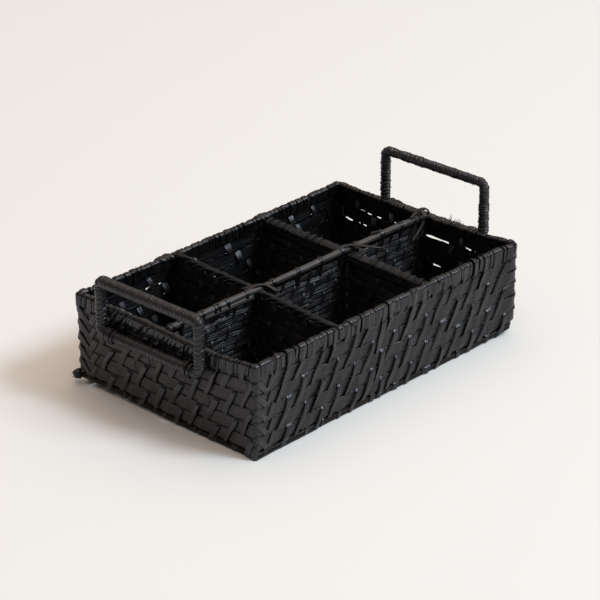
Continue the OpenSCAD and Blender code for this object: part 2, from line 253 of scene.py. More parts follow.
# ------------------------------------------------------------------ materials
def material(name, dark, light, rough=(0.4, 0.6), fibre=1.0, edge_tint=(0.05, 0.045, 0.04), edge=0.35, bump=0.5, along=0.035, across=1.5, spec=0.5, wear=0.25, tint=(0.94, 0.925, 1.0)):
    m = bpy.data.materials.new(name)
    m.use_nodes = True
    t = m.node_tree; nd, ln = t.nodes, t.links
    b = nd["Principled BSDF"]
    b.inputs["Specular IOR Level"].default_value = spec
    b.inputs["Specular Tint"].default_value = (*tint, 1)
    at = nd.new("ShaderNodeAttribute"); at.attribute_name = "grain"
    sp = nd.new("ShaderNodeSeparateXYZ"); ln.new(at.outputs["Vector"], sp.inputs[0])

    def mul(a, k):
        n = nd.new("ShaderNodeMath"); n.operation = "MULTIPLY"; n.inputs[1].default_value = k; ln.new(a, n.inputs[0]); return n.outputs[0]

    def noise(sx, sy, sz, scale, detail, rough_=0.55):
        c = nd.new("ShaderNodeCombineXYZ")
        ln.new(mul(sp.outputs[0], sx), c.inputs[0]); ln.new(mul(sp.outputs[1], sy), c.inputs[1]); ln.new(mul(sp.outputs[2], sz), c.inputs[2])
        n = nd.new("ShaderNodeTexNoise"); n.inputs["Scale"].default_value = scale; n.inputs["Detail"].default_value = detail
        n.inputs["Roughness"].default_value = rough_
        ln.new(c.outputs[0], n.inputs["Vector"])
        return n.outputs["Fac"]

    def ramp(fac, lo, hi, a, c):
        n = nd.new("ShaderNodeMapRange"); n.inputs["From Min"].default_value = lo; n.inputs["From Max"].default_value = hi
        n.inputs["To Min"].default_value = a; n.inputs["To Max"].default_value = c; n.clamp = True
        ln.new(fac, n.inputs["Value"]); return n.outputs[0]

    def mix(fac, a, c):
        n = nd.new("ShaderNodeMix"); n.data_type = "RGBA"
        ln.new(fac, n.inputs[0])
        for s, v in ((n.inputs[6], a), (n.inputs[7], c)):
            if isinstance(v, tuple): s.default_value = (*v, 1)
            else: ln.new(v, s)
        return n.outputs[2]
    fine = noise(along, across * 0.62, 37.0, 1.0, 5, 0.62)          # fibres along the strip
    broad = noise(along * 0.6, 0.22, 91.0, 1.0, 2, 0.5)     # slow change of the dye
    tone = ramp(sp.outputs[2], 0, 1, 0, 1)
    v = nd.new("ShaderNodeMath"); v.operation = "MULTIPLY_ADD"; v.inputs[1].default_value = 0.55; ln.new(fine, v.inputs[0]); ln.new(mul(broad, 0.5), v.inputs[2])
    v2 = nd.new("ShaderNodeMath"); v2.operation = "MULTIPLY_ADD"; v2.inputs[1].default_value = 0.45; ln.new(tone, v2.inputs[0]); ln.new(v.outputs[0], v2.inputs[2])
    col = mix(ramp(v2.outputs[0], 0.45, 1.05, 0, 1), dark, light)
    # worn, paler fibre at the edges of a strip
    ed = nd.new("ShaderNodeAttribute"); ed.attribute_name = "edge"
    em = nd.new("ShaderNodeMath"); em.operation = "MULTIPLY"
    ln.new(ramp(ed.outputs["Fac"], 0.86, 1.0, 0, edge), em.inputs[0]); ln.new(ramp(fine, 0.35, 0.65, 0, 1), em.inputs[1])
    col = mix(em.outputs[0], col, edge_tint)
    # scattered dusty scuffs
    tc = nd.new("ShaderNodeTexCoord")
    sc = nd.new("ShaderNodeTexNoise"); sc.inputs["Scale"].default_value = 60; sc.inputs["Detail"].default_value = 4
    ln.new(tc.outputs["Object"], sc.inputs["Vector"])
    wm = nd.new("ShaderNodeMath"); wm.operation = "MULTIPLY"
    ln.new(ramp(sc.outputs["Fac"], 0.56, 0.72, 0, wear), wm.inputs[0]); ln.new(ramp(fine, 0.4, 0.6, 0, 1), wm.inputs[1])
    col = mix(wm.outputs[0], col, tuple(min(1, c * 2.6 + 0.004) for c in light))
    ln.new(col, b.inputs["Base Color"])
    ln.new(ramp(fine, 0.3, 0.7, rough[0], rough[1]), b.inputs["Roughness"])
    ridge = noise(along * 0.5, 0.5, 53.0, 1.0, 2, 0.5)      # broad ridges along the strip
    b0 = nd.new("ShaderNodeBump"); b0.inputs["Strength"].default_value = 1.0; b0.inputs["Distance"].default_value = 0.0007 * fibre
    ln.new(ridge, b0.inputs["Height"])
    bp = nd.new("ShaderNodeBump"); bp.inputs["Strength"].default_value = bump; bp.inputs["Distance"].default_value = 0.00042 * fibre
    ln.new(fine, bp.inputs["Height"]); ln.new(b0.outputs[0], bp.inputs["Normal"]); ln.new(bp.outputs[0], b.inputs["Normal"])
    return m


M_weave = material("cane_weaver", (0.0030, 0.0030, 0.0034), (0.0086, 0.0083, 0.0084), rough=(0.30, 0.56), across=1.4, edge_tint=(0.02, 0.018, 0.016), tint=(1.0, 0.945, 0.985))
M_stake = material("cane_stake", (0.0032, 0.0032, 0.0040), (0.0088, 0.0086, 0.0098), rough=(0.20, 0.38), across=1.8, edge_tint=(0.02, 0.018, 0.017))
M_rim = material("cane_rim", (0.0022, 0.0021, 0.0025), (0.0075, 0.0071, 0.0072), rough=(0.22, 0.42), across=1.8, edge_tint=(0.03, 0.027, 0.025))
M_wrap = material("cane_wrap", (0.0056, 0.0053, 0.0057), (0.0175, 0.0165, 0.0172), rough=(0.25, 0.47), along=0.06, across=1.6, edge=0.0)
M_rod = material("cane_rod", (0.024, 0.021, 0.019), (0.055, 0.049, 0.045), rough=(0.34, 0.5), along=0.02, across=0.9, wear=0.35)
M_splint = material("bamboo_splint", (0.0032, 0.0025, 0.0021), (0.0100, 0.0080, 0.0066), rough=(0.42, 0.6), along=0.02, across=1.1, spec=0.22, tint=(1.0, 0.86, 0.78))
M_edge = material("cane_edge", (0.0040, 0.0042, 0.0048), (0.0150, 0.0155, 0.0168), rough=(0.34, 0.58), across=1.8, spec=0.28, edge_tint=(0.02, 0.019, 0.018), tint=(0.76, 0.83, 0.90))
# cane of the cross dividers: the same cane as the walls and spine, coloured about twice as light, which is painted
# light that brightens the divider faces
M_cross_painted_light = material("cane_divider_painted_light", (0.0058, 0.0058, 0.0055), (0.0190, 0.0184, 0.0168), rough=(0.34, 0.58), across=1.2, edge_tint=(0.014, 0.013, 0.012))
M_inner = material("cane_inner", (0.0028, 0.0027, 0.0028), (0.0085, 0.0080, 0.0076), rough=(0.26, 0.48), across=1.4, edge_tint=(0.014, 0.013, 0.012))


# ------------------------------------------------------------------ the weave
class Weave:
    """Horizontal weavers with leaning stakes that go over two rows and under one."""

    def __init__(self, rows, pitch, phase, lean, mid=0.0, k=1.0, shift=None, blank=None, step=1):
        self.zb, self.p, self.phase, self.lean, self.mid, self.k = np.asarray(rows, float), pitch, phase, lean, mid, k
        self.shift = shift or (lambda u: 0 * u)
        self.blank = blank or (lambda u: np.zeros_like(u, bool))
        self.z0 = self.zb[0]
        self.step = step

    def over(self, s, r):
        return np.mod(r - self.step * s, 3) != 0

    leanf = None

    def slope(self, u0):
        return self.lean if self.leanf is None else self.lean * self.leanf(u0)

    def at(self, s, z):
        u0 = (s + self.phase) * self.p
        u = u0 + self.slope(u0) * (z - self.z0)
        return u + self.shift(u)

    def visible(self, s, r):
        """Is stake s in front of row r, leaving out the places where the corners are worked differently."""
        zc = (self.zb[r] + self.zb[r + 1]) / 2 if 0 <= r < len(self.zb) - 1 else (self.zb[0] - 3 if r < 0 else self.zb[-1] + 3)
        return self.over(s, r) & ~self.blank(self.at(s, zc))

    def disp(self, u, z, r):
        """Outward shape of weaver r where stakes pass over or under it."""
        v0 = u - self.shift(u); u0 = v0 - self.lean * (z - self.z0)
        if self.leanf is not None:
            for _ in range(12):
                u0 = v0 - self.slope(u0) * (z - self.z0)
        raw = u0 / self.p - self.phase
        d = np.zeros_like(u)
        zl, zh = self.zb[r], self.zb[r + 1]
        for off in (-1, 0, 1):
            s = np.round(raw) + off
            du = (raw - s) * self.p
            g = np.exp(-(du / 4.0) ** 2)
            o = self.over(s, r)
            blank = self.blank(self.at(s, (zl + zh) / 2))
            o = o & ~blank
            d += np.where(o, -0.22 * g, 0.5 * np.exp(-(du / 4.6) ** 2) * ~blank)
            below = self.over(s, r - 1) & ~blank
            above = self.over(s, r + 1) & ~blank
            d += np.where(~o & below, 0.55 * g * np.exp(-(z - zl) / 2.2), 0)
            d += np.where(~o & above, 0.42 * g * np.exp(-(zh - z) / 2.2), 0)
            d += np.where(o & ~below, -0.25 * g * np.exp(-(z - zl) / 2.0), 0)
            d += np.where(o & ~above, -0.35 * g * np.exp(-(zh - z) / 2.0), 0)
        return d * self.k * 1.2

    def weaver(self, piece, r, u0, u1, gap=1.25, thick=1.0, split=4, du=1.6, closed=False, cut=None, skew=0.0):
        n = int((u1 - u0) / du) + 1
        u = np.linspace(u0, u1, n)
        zl = np.full(n, self.zb[r] + gap / 2); zh = np.full(n, self.zb[r + 1] - gap / 2)
        jit = 0.16 * np.sin(u * 0.11 + r * 2.1) + 0.12 * np.sin(u * 0.043 + r * 5.3)
        zl = zl + jit; zh = zh + 0.16 * np.sin(u * 0.09 + r * 3.7) + 0.12 * np.sin(u * 0.05 + r)
        if cut:
            a, b = cut(u, r)
            zl = zl + a; zh = zh - b
        o = np.ones(n)
        mids = {2: (0.0,), 3: (-0.34, 0.33), 4: (-0.52, 0.0, 0.5)}[split]
        wv = 0.16 / split * 2
        cs = [c0 + wv * 0.45 * np.sin(u * (0.031 + 0.004 * q_) + r * 1.9 + q_ * 2) + wv * 0.25 * np.sin(u * 0.11 + r + q_) for q_, c0 in enumerate(mids)]
        gv = -0.06 - self.groove + 0.05 * np.sin(u * 0.07 + r)
        lv = [0.05 * np.sin(u * 0.09 + r * 2.2 + 1.9 * q_) for q_ in range(split)]
        cols, hts = [-o, -0.95 * o], [-0.40 * o, -0.12 + lv[0]]
        bounds = [-o] + cs + [o]
        for q_ in range(split):
            lo_, hi_ = bounds[q_], bounds[q_ + 1]
            cols.append((lo_ + hi_) / 2); hts.append(self.crown * (1 + (0.5 * np.sin(u * 0.047 + r * 2.9) if self.groove else 0)) - 0.20 * ((q_ + 0.5) / split * 2 - 1) ** 2 + lv[q_])
            if q_ < split - 1:
                cols += [hi_ - 0.055, hi_, hi_ + 0.055]; e_ = 0.13 - 0.16 * ((q_ + 1.0) / split * 2 - 1) ** 2; hts += [e_ + lv[q_], e_ + gv, e_ + lv[q_ + 1]]
        cols += [0.95 * o, o]; hts += [-0.12 + lv[-1], -0.40 * o]
        a = np.stack(cols, 1); bul = np.stack(hts, 1) * self.k
        NC = a.shape[1]
        top = 0.5 * thick * self.k
        zz = (zl + zh)[:, None] / 2 + (zh - zl)[:, None] / 2 * a
        uu = np.repeat(u[:, None], NC, 1)
        d = self.disp(uu.ravel(), zz.ravel(), r).reshape(n, NC)
        slow = 0.15 * np.sin(u * 0.07 + r * 1.7)[:, None]
        nt = self.mid + d + slow + top + bul
        nb = self.mid + d + slow - top - bul * 0.8
        V = np.concatenate([np.stack([uu, zz, nt], 2), np.stack([uu, zz, nb], 2)[:, ::-1]], 1)   # n x 14 x 3
        m = 2 * NC
        tone = 0.5 + 0.5 * np.sin(u * 0.013 + r * 2.4) * 0.6 + rng.uniform(-0.25, 0.25)
        A = np.zeros((n, m, 3))
        A[..., 0] = (u + r * 731)[:, None]
        A[..., 1] = V[..., 1] + 13.7 * r
        A[..., 2] = np.round(np.clip(tone, 0, 1) * 3)[:, None] / 3
        E = np.concatenate([np.abs(a), np.abs(a[:, ::-1])], 1).ravel()
        q = []
        last = n if closed else n - 1
        i = np.arange(last)[:, None] * m; i2 = (np.arange(last)[:, None] + 1) % n * m
        j = np.arange(m)[None]; k = (j + 1) % m
        # a runs up, u runs right: (u x z) = n, so right first and then up faces outwards
        q = np.stack([i + j, i2 + j, i2 + k, i + k], 2).reshape(-1, 4)
        f = list(map(tuple, q))
        if not closed:
            f.append(tuple(range(m))); f.append(tuple((n - 1) * m + t for t in range(m - 1, -1, -1)))
        piece.add(V.reshape(-1, 3), f, A.reshape(-1, 3), E)

    def levels(self, s, z):
        """Depth of stake s along z: out over two rows, in behind one, bowed between."""
        zb, k = self.zb, self.k
        hi, lo = 1.12 * k, -1.05 * k
        w = 3.6 * min(1.0, k + 0.1)
        state = [self.visible(s, r) for r in range(-1, len(zb) - 1)] + [self.top_over]
        n = np.full_like(z, hi if state[0] else lo)

        def arch(t):
            """Slow rise, then a quick curl in at the upper end."""
            return np.where(t < 0.52, smooth(t / 0.52), np.cos(np.clip((t - 0.52) / 0.48, 0, 1) * math.pi / 2))

        def bow(t):
            """Fullest low down, then a long slope back up to the weave."""
            return np.where(t < 0.22, smooth(t / 0.22), np.clip((1 - t) / 0.78, 0, 1))
        start, cur = zb[0] - 7.0, state[0]
        ends = [(zb[r], state[r + 1]) for r in range(len(zb)) if state[r + 1] != (state[r])] + [(zb[-1] + 13.0, None)]
        for z1, want in ends:
            m = (z > start) & (z < z1)
            span = z1 - start
            t = (z - start) / span
            n = n + np.where(m, (0.9 * min(1.0, span / 24.0) * arch(t) if cur else -self.under * min(1.0, span / 12.0) * bow(t)) * k, 0)
            if want is not None:
                wq = 0.6 * span if want else w
                q = smooth((z - (z1 - wq)) / (1.2 * wq))
                n = np.where(z > z1 - wq, n + ((hi - lo) if want else (lo - hi)) * q, n)
            start, cur = z1, want
        return n
    top_over = True
    under = 1.6
    crown, groove = 0.20, 0.0


# outer walls: five rows, 78 stakes round the basket
N_ST = 78
PITCH = TOTAL / N_ST
ROWS = [7.0, 20.4, 33.8, 47.2, 60.6, 74.0]
LEAN = 0.51


def outer_shift(u):
    u = np.mod(u, TOTAL)
    a = smooth((u - front(-25)) / 37.0); b = smooth((u - far(-60)) / 600.0)
    return -11.5 * (a - b)


CORNERS = [TOTAL - ARC * 0.5, U_A + ARC * 0.5, U_C + ARC * 0.5, U_D + ARC * 0.5]   # B, A, C, D


def blank_zone(u):
    u = np.mod(u, TOTAL)
    m = np.zeros_like(u, bool)
    for c in CORNERS:
        d = np.mod(u - c + TOTAL / 2, TOTAL) - TOTAL / 2
        m |= (d > -1.5) & (d < 23.5)
    return m


W = Weave(ROWS, PITCH, 1.48, LEAN, mid=-1.25, shift=outer_shift, blank=blank_zone)


W.under = 3.6


def back_upright(u0):
    """The stakes of the back wall stand almost upright; the others lean."""
    u0 = np.mod(u0, TOTAL)
    return 1 - 1.15 * np.clip((u0 - (U_D - 25)) / 112.0, 0, 1) * np.clip((U_B - 15 - u0) / 112.0, 0, 1)


W.leanf = back_upright


def far_slits(u, r):
    """Gaps between the rows, where light comes through the far wall."""
    y = np.mod(u, TOTAL) - U_R - SY
    on = (np.mod(u, TOTAL) > U_R) & (np.mod(u, TOTAL) < U_D)
    low = np.zeros_like(u); high = np.zeros_like(u)

    def span(a, b, amt):
        return np.where(on, 0.32 * amt * smooth((y - a) / 1.5) * smooth((b - y) / 1.5), 0)
    if r == 4:
        low += span(-34.5, -5.5, 1.25) + span(-61, -52, 0.8) + span(51, 57, 0.7) + span(62, 69, 0.7) + span(31, 36, 0.5)
    if r == 3:
        high += span(-34.5, -5.5, 0.75) + span(-61, -52, 0.5)
        low += span(86, 97, 0.1)
    if r == 2:
        low += span(-27, -13, 0.5)
        high += span(86, 97, 0.5)
    return low, high


for r in range(5):
    pc = Piece()
    W.weaver(pc, r, 0, TOTAL * (1 - 1.6 / TOTAL), closed=True, cut=far_slits)
    pc.make(f"weaver_row_{r + 1}", M_weave, mapping=on_wall, replaces={
        0: ("front_wall_weave", "front_near_corner"), 1: ("back_wall_weave", "back_near_corner"), 2: ("near_wall_weave", "front_far_corner"),
        3: ("far_wall_weave", "back_far_corner"), 4: ()}[r])

# thin strip behind each seam, so that light only comes through the real slits
SLITS = {1: [], 2: [(far(-26), far(-15))], 3: [(far(87), far(96)), (far(77), far(79)), (far(66), far(73))],
         4: [(far(-33.5), far(-6)), (far(-60), far(-53)), (far(-67), far(-64.5)), (far(51), far(56.5)), (far(62.5), far(67.5)), (far(32), far(35)), (far(9.5), far(11.5)),
             (back(-86), back(-89)), (back(-64), back(-73)), (back(-131), back(-137))]}
pc = Piece()
for r in range(0, 6):
    cuts = sorted(SLITS.get(r, []))
    edges = [1.0] + [e for c in cuts for e in c] + [TOTAL - 1.0]
    for a, b in zip(edges[::2], edges[1::2]):
        n = max(4, int((b - a) / 2.4))
        u = np.linspace(a, b, n)
        P = np.stack([u, np.full(n, ROWS[r] - (1.6 if r == 0 else 0)), np.full(n, -2.9 if r == 0 else -1.75)], 1)
        pc.strip(P, (0, 0, 1.0), 6.6 if r == 0 else 3.0, thick=0.22, crown=0.02, tone=0.1)
pc.make("seam_strips", M_inner, mapping=on_wall)

# stakes: one long strip each, from under the bottom edge, through the weave and over the rim
groups = {"near": Piece(), "front": Piece(), "far": Piece(), "back": Piece()}


def side_of(u):
    u = np.mod(u, TOTAL)
    return "near" if u < U_A + ARC / 2 or u > U_B + ARC / 2 else "front" if u < U_C + ARC / 2 else "far" if u < U_D + ARC / 2 else "back"


for s in range(N_ST):
    z = np.concatenate([np.arange(1.0, 74.0, 1.1)])
    u = W.at(s, z) + rng.normal(0, 0.6)
    u = u + 0.6 * np.sin(z * 0.14 + rng.uniform(0, 6.3)) + 0.25 * np.sin(z * 0.33 + s)
    gapm = np.mod(u, TOTAL) - far(-19.75)
    sgn = 1.0 if np.interp(60.6, z, gapm) > 0 else -1.0
    if np.abs(gapm).min() < 30:
        push = np.clip(16.5 - np.abs(np.interp(60.6, z, gapm)), 0, 16.5)
        u = u + sgn * push * np.exp(-((z - 60.6) / 13.0) ** 2)
    nlev = W.levels(s, z)
    nn = W.mid + nlev + 0.16 * np.sin(z * 0.23 + s)
    if side_of(u[len(u) // 2]) == "far":       # flatter here, clear of the folded handle
        nn = np.where(nn > W.mid + 1.5, W.mid + 1.5 + (nn - W.mid - 1.5) * 0.35, nn)
    over_low = W.visible(s, -1)
    side = side_of(u[-1])
    low_side = side_of(u[0])
    # foot: round the bottom edge, short over the splint, or behind it
    foot_z = foot_n = np.array([])
    if low_side == "near":
        if s % 3 == 1 and over_low:
            nn = np.where(z < 7, np.maximum(nn, -0.05), nn); nn = nn - 0.5 * np.exp(-(z - 1.0) / 1.2)
        else:
            if over_low:
                zz = np.linspace(1.6, 6.6, 8)
                groups["near"].strip(np.stack([W.at(s, zz) - 0.5, zz * 0.8, -0.1 - 0.75 * (2 * (zz - 4.1) / 5.0) ** 4], 1), (0, 0, 1.0), 3.0, thick=0.6, crown=0.4, tone=0.95)
            keep = z > 5.0
            z, u, nn = z[keep], u[keep], nn[keep]
            nn = np.where(z < 9.5, nn + (-2.6 - nn) * smooth((9.5 - z) / 3.0), nn) if not W.visible(s, 0) else np.where(z < 7.5, nn - 2.2 * smooth((7.5 - z) / 2.2), nn)
    elif over_low:
        foot_z = np.array([0.45, 0.36, 0.34, 0.42, 0.75]); foot_n = np.array([-6.5, -4.2, -2.4, -1.3, -0.7])
        nn = np.where(z < 7, -0.42 + (nn + 0.42) * smooth((z - 3.5) / 4.0), nn)
    # head: upright over the rim band, folded over it and down inside
    zt = np.arange(75.0, 87.0, 1.2)
    du_t = W.slope((s + W.phase) * W.p) * 4.5 * (1 - np.exp(-(zt - 74) / 4.5))
    th = np.linspace(0, math.pi, 11)[0:]
    rc = 2.7 + rng.uniform(-0.4, 0.35)
    top_n = W.mid + 1.35 - rc + rc * np.cos(th); top_zz = 86.9 + rc * 0.95 * np.sin(th)
    down_z = np.arange(86.2, 75.5, -1.5); down_n = np.full(len(down_z), top_n[-1])
    P_u = np.concatenate([np.full(len(foot_z), u[0]), u, u[-1] + du_t, np.full(len(th) + len(down_z), u[-1] + du_t[-1]) + np.linspace(0, rng.uniform(-1, 1.6), len(th) + len(down_z))])
    P_z = np.concatenate([foot_z, z, zt, top_zz, down_z])
    P_n = np.concatenate([foot_n, nn, W.mid + 1.02 + 0.33 * smooth((zt - 75) / 5), top_n, down_n])
    P = np.stack([P_u, P_z, P_n], 1)
    # skin side: outwards on the outside, up over the rim, inwards inside
    T = np.gradient(P, axis=0)
    Nv = np.stack([np.zeros(len(P)), -T[:, 2], T[:, 1]], 1)
    Nv /= np.linalg.norm(Nv, axis=1)[:, None] + 1e-9
    w = rng.uniform(4.3, 6.6)
    Nv[:, 0] += rng.normal(0, 0.10) + 0.06 * np.sin(np.arange(len(P)) * 0.15 + s * 2)
    if side == "back":      # inner bows lie a little turned, following the lean of the stake
        Nv[:, 0] -= 0.24 * smooth((T[:, 2] / (np.abs(T[:, 1]) + 0.05) - 0.2) / 0.4) * (P[:, 1] < 74) * (P[:, 2] < W.mid)
    groups[side].strip(P, Nv, w * (1 - 0.10 * np.abs(np.sin(np.arange(len(P)) * 0.09 + s))), thick=0.95, crown=0.28)

# chevrons at the left of each wall: a short strip down-right, and one back up, in every row
for ci, c in enumerate(CORNERS):
    g = groups[("near", "front", "far", "back")[ci]]
    for r in range(-0, 5):
        zl, zh = ROWS[r], ROWS[r + 1]
        for (ua, za, ub, zb_) in ((-2.5, zh + 3.5, 16.0, zl - 2.0), (13.8, zl - 2.2, 24.0, zh + 2.4)):
            t = np.linspace(0, 1, 16)
            P = np.stack([c + ua + (ub - ua) * t, za + (zb_ - za) * t, W.mid + 1.0 - 2.1 * (1 - smooth(np.minimum(t, 1 - t) / 0.2)) + 0.45 * np.sin(t * math.pi)], 1)
            P[:, 0] += rng.normal(0, 0.3)
            g.strip(P, (0, 0, 1.0), rng.uniform(4.8, 5.8), thick=0.6, crown=0.15)

# foot of the near-front corner: a short upright strip, and thin strips framing the splint beside it
zz = np.linspace(0.3, 13.0, 12)
groups["front"].strip(np.stack([U_A + ARC * 0.5 + 0.12 * zz - 0.9, zz, -0.1 - 0.9 * (zz / 13.0) ** 6], 1), (0, 0, 1.0), 4.6, thick=0.8, crown=0.6, tone=0.8)
groups["front"].strip(np.stack([U_A + ARC * 0.5 - 4.6 + 0 * zz, zz * 0.8, -0.5 - 0.9 * (zz / 13.0) ** 6], 1), (0, 0, 1.0), 3.6, thick=0.6, crown=0.4, tone=0.5)
uf = np.linspace(U_A + ARC * 0.5 + 2.0, front(-98), 26)
for zf, wf in ((5.4, 1.1), (0.9, 1.2)):
    groups["front"].strip(np.stack([uf, zf + 0.12 * np.sin(uf * 0.3), 0 * uf - 0.25], 1), (0, 0.3, 1.0), wf, thick=0.6, crown=0.25, tone=1.0)

for side, pc in groups.items():
    pc.make(f"{side}_stakes", M_stake, slot="stakes", mapping=on_wall, replaces=(f"{side}_wall_stakes",))

# ------------------------------------------------------------------ rim
for side, ua, ub in (("near", -ARC / 2, U_A + ARC / 2), ("front", U_A + ARC / 2, U_C + ARC / 2), ("far", U_C + ARC / 2, U_D + ARC / 2), ("back", U_D + ARC / 2, U_B + ARC / 2)):
    pc = Piece()
    n = int((ub - ua) / 2.0)
    u = np.linspace(ua, ub, n)
    for nn, zc, w in ((-1.95, 80.6, 12.6), (-3.9, 80.4, 12.8)):
        P = np.stack([u, np.full(n, zc), nn + 0.15 * np.sin(u * 0.2)], 1)
        pc.strip(P, (0, 0, 1.0 if nn > -2 else -1.0), w, thick=0.75, crown=0.25)
    P = np.stack([u, np.full(n, 86.3) + 0.12 * np.sin(u * 0.3), np.full(n, -2.65)], 1)
    pc.rod(P, 1.75, sides=10)
    pc.make(f"{side}_rim_band", M_weave, mapping=on_wall, replaces=(f"{side}_rim",))
    # wraps over the rim, between the folded stakes
    pc = Piece()
    uu = ua + 2
    while uu < ub - 1:
        if side == "near":
            roped = 1.0 if near(66) < uu < near(-52) else 0.25
            w = rng.uniform(3.2, 5.4); stepu = w + rng.uniform(-0.2, 1.6); slant = rng.uniform(3.5, 7.5) * roped
        else:
            w = rng.choice([rng.uniform(2.8, 5.2), rng.uniform(5.6, 8.0)], p=[0.75, 0.25]); stepu = w + rng.uniform(0.1, 1.5); slant = rng.uniform(-1.2, 3.0)
        lowz = rng.uniform(72.6, 78.0) if side != "near" else rng.uniform(76.5, 80.5) if roped == 1.0 else rng.uniform(74.0, 78.0)
        zt = np.arange(lowz, 87.0, 1.2)
        rc = rng.uniform(2.15, 3.0)
        th = np.linspace(0, math.pi, 11)
        top_n = W.mid + 1.0 - rc + rc * np.cos(th)
        dz = np.arange(86.3, 76 + rng.uniform(0, 3), -1.5)
        P_z = np.concatenate([zt, 86.8 + rc * 0.92 * np.sin(th), dz])
        P_n = np.concatenate([np.full(len(zt), W.mid + 1.0) - 1.2 * np.exp(-(zt - lowz) / 1.2), top_n, np.full(len(dz), top_n[-1])])
        P_u = uu + w / 2 - (slant * np.exp(-(np.arange(len(P_z)) / 6.0)) if side != "near" else slant * (1.2 - np.arange(len(P_z)) / 9.0))
        P = np.stack([P_u, P_z, P_n], 1)
        T = np.gradient(P, axis=0)
        Nv = np.stack([np.zeros(len(P)), -T[:, 2], T[:, 1]], 1); Nv /= np.linalg.norm(Nv, axis=1)[:, None] + 1e-9
        Nv[:, 0] += rng.normal(0, 0.2)
        if side == "near" and roped == 1.0:
            P[:, 2] += 0.75; P[:, 1] += 0.3 * rng.uniform(-1, 1)
            pc.strip(P, Nv, w * 1.12, thick=1.5, crown=0.9)
        else:
            P[:, 2] += 0.35 * (rc - 2.5)
            pc.strip(P, Nv, w, thick=0.85, crown=rng.uniform(0.15, 0.55))
        uu += stepu
    for uh, big in {"back": ((back(-66), 1.5), (back(-61), 1.9), (back(-71), 1.1), (back(57), 1.3), (back(62), 1.7), (back(67), 1.0)),
                    "front": ((front(-51), 1.1), (front(-46), 0.9), (front(64.5), 1.1), (front(69), 0.8)), "near": ((near(-2), 0.7), (near(3), 0.8)), "far": ((far(-5), 0.8), (far(1), 0.9))}[side]:
        th = np.linspace(-0.25, math.pi + 0.25, 20)
        rc = 2.7 + big
        P = np.stack([uh + 2.4 * np.cos(th) + rng.uniform(-0.4, 0.4), 86.4 + rc * np.sin(th), -2.7 + (rc + 0.1) * np.cos(th)], 1)
        pc.strip(P, np.stack([0 * th, np.sin(th), np.cos(th)], 1) + np.array([rng.uniform(-0.3, 0.3), 0, 0]), rng.uniform(4.2, 5.6), thick=1.0, crown=0.5)
    pc.make(f"{side}_rim_lacing", M_rim, slot="stakes", mapping=on_wall, replaces=(f"{side}_rim_wraps",))

# ------------------------------------------------------------------ bottom edge splints
for side, ua, ub in (("near", 1, U_A - 1), ("front", U_F + 1, U_C - 3), ("far", U_R + 1, U_D - 1), ("back", U_K + 1, U_B - 1)):
    pc = Piece()
    n = int((ub - ua) / 3.0)
    u = np.linspace(ua, ub, n)
    prof = np.array([[0.75, 0.3], [0.3, 0.8], [0.1, 2.2], [0.15, 3.5], [0.5, 4.5], [1.3, 5.0], [3.6, 5.0], [4.0, 1.0], [2.4, 0.2]])
    v = np.zeros((n, len(prof), 3)); v[..., 0] = u[:, None]
    knot = np.exp(-((np.mod(u, 92) - 40) / 1.6) ** 2)
    v[..., 1] = prof[None, :, 1] + 0.15 * np.sin(u * 0.05)[:, None]
    v[..., 2] = -0.45 - prof[None, :, 0] + (0.3 * knot)[:, None]
    m = len(prof)
    i = np.arange(n - 1)[:, None] * m; j = np.arange(m)[None]; k = (j + 1) % m
    f = list(map(tuple, np.stack([i + j, i + m + j, i + m + k, i + k], 2).reshape(-1, 4)))
    f.append(tuple(range(m))); f.append(tuple((n - 1) * m + t for t in range(m - 1, -1, -1)))
    a = np.stack([np.repeat(u, m), v[..., 1].ravel() + v[..., 2].ravel(), np.full(n * m, 0.4)], 1)
    pc.add(v.reshape(-1, 3), f, a, np.zeros(n * m))
    pc.make(f"{side}_splint", M_splint, slot="splint", mapping=on_wall, replaces=(f"{side}_base_splint",), sharp=60)
pc = Piece()
for side, ua, ub in (("near", 8, U_A - 8), ("front", U_F + 8, U_C - 8), ("far", U_R + 8, U_D - 8), ("back", U_K + 8, U_B - 8)):
    uu = ua
    while uu < ub:
        zz = np.array([0.3, 0.32, 0.8, 2.4, 4.2, 5.6, 6.6, 7.2]); nn = np.array([-4.5, -2.0, -0.8, -0.35, -0.3, -0.5, -1.1, -2.0])
        P = np.stack([uu + zz * rng.uniform(-0.3, 0.6), zz, nn], 1)
        T = np.gradient(P, axis=0); Nv = np.stack([np.zeros(8), -T[:, 2], T[:, 1]], 1)
        pc.strip(P, Nv, rng.uniform(1.6, 2.6), thick=0.4, crown=0.1)
        uu += rng.uniform(17, 27)
pc.make("splint_ties", M_rim, slot="stakes", mapping=on_wall, replaces=("base_ties",))

# ------------------------------------------------------------------ base
BW = Weave(np.linspace(-104, 104, 17), 14.1, 0.2, 0.0, mid=0.0, k=0.62)


def base_map(v):
    x, y = v[:, 0], v[:, 1]
    return np.stack([x, y, 1.75 + v[:, 2] + lift(x, y)], 1) * MM


pc = Piece()
for r in range(16):
    BW.weaver(pc, r, -166.5, 166.5, gap=0.5, thick=0.8, du=3.0, split=3)
for s in range(-12, 13):
    y = np.arange(-104.5, 105, 2.0)
    if abs((s + 0.2) * 14.1) > 165:
        continue
    u = BW.at(s, y)
    P = np.stack([u, y, BW.mid + BW.levels(s, y)], 1)
    pc.strip(P, (0, 0, 1.0), 11.2, thick=0.42, crown=0.05)
pc.make("base_weave", M_inner, mapping=base_map, replaces=("base_panel",))


